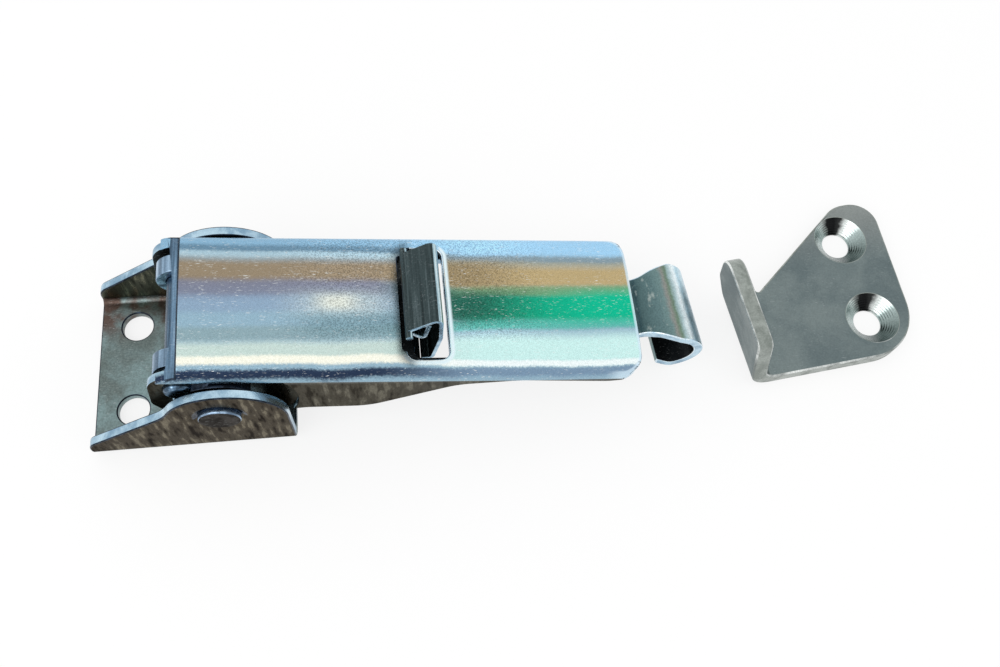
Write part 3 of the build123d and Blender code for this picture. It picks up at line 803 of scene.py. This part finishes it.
def rounded_copy(node, edge, segments=2, turn_from=30, fine_at=()):
    """Copy of a CAD piece with its sharp outward edges rounded, less so near fine_at points."""
    work = bmesh.new()
    work.from_mesh(frame["nodes"][node].data)
    bmesh.ops.remove_doubles(work, verts=work.verts, dist=same_place)
    bmesh.ops.dissolve_degenerate(work, dist=too_thin, edges=work.edges)
    bmesh.ops.dissolve_limit(
        work, angle_limit=math.radians(0.4), use_dissolve_boundaries=False,
        verts=work.verts, edges=work.edges,
    )
    needles = [
        line for line in work.edges
        if len(line.link_faces) == 2 and line.is_convex
        and line.calc_face_angle() > needle_turn and line.calc_length() > needle_length
    ]
    for line in needles:
        for tip in line.verts:
            beside = [other.other_vert(tip) for other in tip.link_edges if other != line]
            tip.co = min(beside, key=lambda corner: (corner.co - tip.co).length).co
    if needles:
        bmesh.ops.remove_doubles(work, verts=work.verts, dist=same_place)
        bmesh.ops.dissolve_degenerate(work, dist=too_thin, edges=work.edges)
    sharp, fine = [], []
    for line in work.edges:
        if len(line.link_faces) != 2 or not line.is_convex:
            continue
        if line.calc_face_angle() > math.radians(turn_from):
            spot = (line.verts[0].co + line.verts[1].co) / 2
            close = any(math.hypot(spot.x - x, spot.y - y) < sink_reach for x, y in fine_at)
            (fine if close else sharp).append(line)
    mark = work.faces.layers.int.new("on_edge")
    for lines, size in ((sharp, edge), (fine, edge / 4)):
        made = bmesh.ops.bevel(
            work, geom=lines, offset=size, offset_type="OFFSET", affect="EDGES",
            segments=segments, profile=0.5, material=-1, clamp_overlap=False,
        )
        for face in made["faces"]:
            face[mark] = 1
    bmesh.ops.triangulate(work, faces=[f for f in work.faces if len(f.verts) > 4])
    mesh = bpy.data.meshes.new(f"{node}_finished")
    work.to_mesh(mesh)
    work.free()
    piece = bpy.data.objects.new(f"{node}_finished", mesh)
    bpy.context.scene.collection.objects.link(piece)
    mesh.shade_smooth()
    mesh.set_sharp_from_angle(angle=math.radians(38))
    even = piece.modifiers.new("even_normals", "WEIGHTED_NORMAL")
    even.keep_sharp = True
    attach(piece, body_of[node])
    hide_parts(node)
    triangles = sum(len(face.vertices) - 2 for face in mesh.polygons)
    print(node, "needles", len(needles), "edges", len(sharp) + len(fine), "triangles", triangles)
    return piece


def sort_faces(piece, finishes, choose):
    """Gives each face the finish whose number the rule returns."""
    for finish in finishes:
        piece.data.materials.append(finish)
    counts = [0] * len(finishes)
    on_edge = piece.data.attributes["on_edge"].data
    for face in piece.data.polygons:
        face.material_index = choose(face.center, face.normal, on_edge[face.index].value == 1)
        counts[face.material_index] += 1
    print(piece.name, counts)


# %% [markdown]
# ## Base plate
# A channel bent from one strip: the web lies on the panel, and the two ears
# stand up and carry the pivot rivets. The web shows mottled grey, the ears'
# outer faces painted brown reflection blotches, and the sheared rim of each ear
# is a bright line of painted reflection, with painted shade along its rounded
# edges. The dish round each rivet is painted dark as shade where its wall does
# not face up.

# %% Base plate
base = rounded_copy("base_plate", 0.00022)
ear_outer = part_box("base_plate")[1].y
ear_inner = ear_outer - 0.0017
pivot_x, pivot_z = 0.0066, 0.0151
dish_from, dish_to = 0.0030, 0.0046
ear_foot = 0.0025


def base_rule(place, normal, on_edge):
    """Dish round the rivet with painted shade where its wall does not face up, rims in painted
    shade, ears' outer faces, cut edges, ears' inner faces, web.
    """
    side = abs(place.y)
    at_outside = side > ear_outer - 0.0006
    from_pivot = math.hypot(place.x - pivot_x, place.z - pivot_z)
    if at_outside and dish_from < from_pivot < dish_to and (on_edge or abs(normal.y) < 0.97):
        return 1 if normal.z > 0.05 else 4
    if on_edge and (place.z > ear_foot or place.z > 0.0012 and side < 0.012):
        return 4
    if at_outside and abs(normal.y) > 0.7:
        return 1
    if side > ear_inner - 0.0004 and abs(normal.y) < 0.6 and place.z > ear_foot:
        return 2
    if place.z > 0.0030 and side > ear_inner - 0.0012:
        return 3
    return 0


sort_faces(base, [web_zinc, ear_side, cut_edge_sheen, inner_ear, edge_shade], base_rule)

# %% [markdown]
# ## Lever
# The handle is a shallow crowned channel. Its top carries the painted reflection
# bands, its sides the painted reflection blotches, and the window, the ends and
# the lower rims are cut edges. The joggle near the pivot, where the sides step in
# to pass between the ears, is in the CAD mesh already and only needs its faces
# sorted; its ledge and the inside of the channel are painted dark as shade, and
# the rounded rims carry painted shade at the back and a painted glint at the front.

# %% Lever
lever = rounded_copy("lever", 0.0002)


def lever_rule(place, normal, on_edge):
    """Ledge over the pin in the pin's steel, rims in painted shade at the back and painted glint at
    the front, top, cut edges, sides, joggle ledge in painted shade and the inside in painted shade.
    """
    length, height = along_lever(place.x, place.z)
    side = abs(place.y)
    if 0.0043 < height < 0.0051 and length < -0.0001 and side < 0.0117:
        return 6
    if on_edge and height > 0.0044:
        return 5 if length > 0.0395 or (length > 0.034 and place.y < -0.009) else 4
    up_down = normal.x * math.sin(slope) + normal.z * math.cos(slope)
    outwards = normal.y if place.y > 0 else -normal.y
    if height > 0.0034 and (up_down > 0.25 or outwards > 0.3):
        return 0
    if height > 0.0044 and abs(up_down) < 0.25:
        return 2
    if outwards > 0.6:
        return 1
    if 0.0012 < height < 0.0034 and 0.0 < length < 0.0130 and up_down > 0.4:
        return 4
    if outwards > -0.5 and height < 0.0036 and side > 0.0105:
        return 2
    return 3


lever_finishes = [
    lever_top, lever_side, cut_edge_sheen, painted_shade_inside, edge_shade, edge_glint, pin_steel,
]
sort_faces(lever, lever_finishes, lever_rule)

# %% [markdown]
# ## Draw pin and pivot rivets
# Round parts need little more than a rounded rim. On the rivets the flat face
# and the side get different finishes: the face was struck by the riveting tool
# and the side was not, and the side's bright colour is a painted reflection.

# %% Pin and rivets
def one_finish(place, normal, on_edge):
    """Every face has the same finish."""
    return 0


def rivet_rule(place, normal, on_edge):
    """The struck face, then the side with its painted reflection."""
    return 0 if abs(normal.y) > 0.8 else 1


sort_faces(rounded_copy("draw_pin", 0.00008), [pin_steel], one_finish)
for name in ("near_pivot_rivet", "far_pivot_rivet"):
    sort_faces(rounded_copy(name, 0.00012), [rivet_face, rivet_side], rivet_rule)
sort_faces(rounded_copy("catch_rivet", 0.00008), [rivet_side], one_finish)

# %% [markdown]
# ## Draw hook
# One strap: two knuckles rolled round the pin, rails beside the catch, a neck
# and the rolled hook. The knuckles carry painted reflection bands, the sheared
# rims are cut edges, the rims of the rolled end carry a painted glint, and
# everything under the lever and inside the roll is painted dark as shade.

# %% Draw hook
hook = rounded_copy("draw_hook", 0.0002)
roll_x, roll_y, roll_z = 0.085, -0.00775, 0.0085


def hook_rule(place, normal, on_edge):
    """Knuckles, inside of the roll in painted shade, rolled end with painted glints, rails, and the
    strap in painted shade.
    """
    length, _ = along_lever(place.x, place.z)
    if length < 0.0075:
        return 1
    axis_x = roll_x - (place.y - roll_y) * math.tan(hook_skew)
    from_axis = math.hypot(place.x - axis_x, place.z - roll_z)
    if length > 0.081 and from_axis < 0.0047 and abs(normal.y) < 0.75:
        return 3
    if length > 0.074:
        if on_edge and abs(normal.y) > 0.2:
            return 4
        return 2 if abs(normal.y) > 0.75 else 0
    if abs(normal.z) < 0.5:
        return 2
    return 3


sort_faces(hook, [hook_zinc, knuckle_zinc, cut_edge_sheen, painted_shade_inside, edge_glint], hook_rule)

# %% [markdown]
# ## Safety catch
# A folded spring strip whose roof and nose stand up through the lever's window.
# Its sheared ends are thin bright lines, its undersides are painted dark as
# shade, its nose's front is painted lighter as a highlight, and its other faces
# carry rolling lines.

# %% Catch and its foot
catch = rounded_copy("safety_catch", 0.00012)
foot = rounded_copy("catch_foot", 0.0001)


def catch_rule(place, normal, on_edge):
    """Sheared ends, undersides in painted shade, the nose's front in painted highlight, and the
    rest.
    """
    if abs(normal.y) > 0.5:
        return 1
    if normal.z < -0.2:
        return 2
    return 3 if normal.x > 0.45 and place.z > 0.022 else 0


for strip in (catch, foot):
    sort_faces(strip, [catch_steel, cut_edge_sheen, painted_shade_inside, nose_highlight_steel], catch_rule)

# %% [markdown]
# ## Keeper plate
# A thicker plate, cut and bent, then tumbled longer than the latch, so its edges
# are rounder and its zinc is dull grey. Its sides and rounded rims are painted
# lighter as sheen, and the near edge and the lip's rims carry a painted glint. The
# cones are sorted by their slope and by which hole they belong to.

# %% Keeper
keeper = rounded_copy("keeper_plate", 0.0003, segments=3, fine_at=sinks)
half_thick, above_plate = 0.0016, 0.0034


def near_edge_line(x):
    """Line that parts the keeper's near edge from the rest of it."""
    return -0.0085 + (x - 0.1066) * math.tan(keeper_turn)


def keeper_rule(place, normal, on_edge):
    """Cones, rounded rims with painted sheen and painted glint, then the plate and the lip, whose
    sides take the painted sheen.
    """
    for number, centre in enumerate(sinks):
        away = math.hypot(place.x - centre[0], place.y - centre[1])
        if away < sink_reach and 0.0 < place.z < 0.00305 and abs(normal.z) < 0.9:
            return 2 + number
    on_lip = place.z > above_plate
    if on_edge and place.z > half_thick:
        near_edge = place.z < above_plate and place.y < near_edge_line(place.x)
        return 4 if near_edge or on_lip else 1
    if place.z < above_plate:
        return 0 if abs(normal.z) > 0.8 else 1
    return 1 if abs(normal.x) < 0.7 else 0


sort_faces(keeper, [keeper_zinc, keeper_edge_sheen, *cone_finishes, keeper_glint], keeper_rule)

# %% [markdown]
# ## Floor
# The latch lies on a white sweep that is lit a little from behind, as on a
# product table, so its shadow stays soft and pale. The plane lies at the mounting
# face. Most of what the camera sees of it is plain white, the rest takes the
# shadow.

# %% Floor
work = bmesh.new()
bmesh.ops.create_grid(work, x_segments=1, y_segments=1, size=1.5)
bmesh.ops.translate(work, verts=work.verts, vec=(middle.x, middle.y, cad_box[0].z - 0.00005))
floor_mesh = bpy.data.meshes.new("floor")
work.to_mesh(floor_mesh)
work.free()
floor = bpy.data.objects.new("floor", floor_mesh)
bpy.context.scene.collection.objects.link(floor)
paper = bpy.data.materials.new("white_sweep")
paper.use_nodes = True
tree = paper.node_tree
shader = tree.nodes["Principled BSDF"]
spot = put(tree, "ShaderNodeTexCoord").outputs["Object"]
fibres = noise(tree, spot, 60.0, 3.0)
paper_white = mix(tree, fibres, screen(250, 250, 250), screen(253, 253, 253))
tree.links.new(paper_white, shader.inputs["Base Color"])
shader.inputs["Roughness"].default_value = 0.9
shader.inputs["Specular IOR Level"].default_value = 0.1
ray = put(tree, "ShaderNodeLightPath")
direct = sums(tree, "MAXIMUM", ray.outputs["Is Camera Ray"], ray.outputs["Is Glossy Ray"])
direct = sums(tree, "MAXIMUM", direct, ray.outputs["Is Transmission Ray"])
share = times(tree, direct, 0.8)
backlit = put(tree, "ShaderNodeEmission", {"Color": white, "Strength": 1.0})
sheet = put(tree, "ShaderNodeMixShader")
tree.links.new(share, sheet.inputs[0])
tree.links.new(shader.outputs[0], sheet.inputs[1])
tree.links.new(backlit.outputs[0], sheet.inputs[2])
tree.links.new(sheet.outputs[0], tree.nodes["Material Output"].inputs["Surface"])
floor_mesh.materials.append(paper)
print("floor at", round(floor_mesh.vertices[0].co.z * 1000, 2), "mm")

# %% [markdown]
# ## View settings
# The Standard view keeps colours as they are written.

# %% Finish
bpy.context.scene.view_settings.view_transform = "Standard"
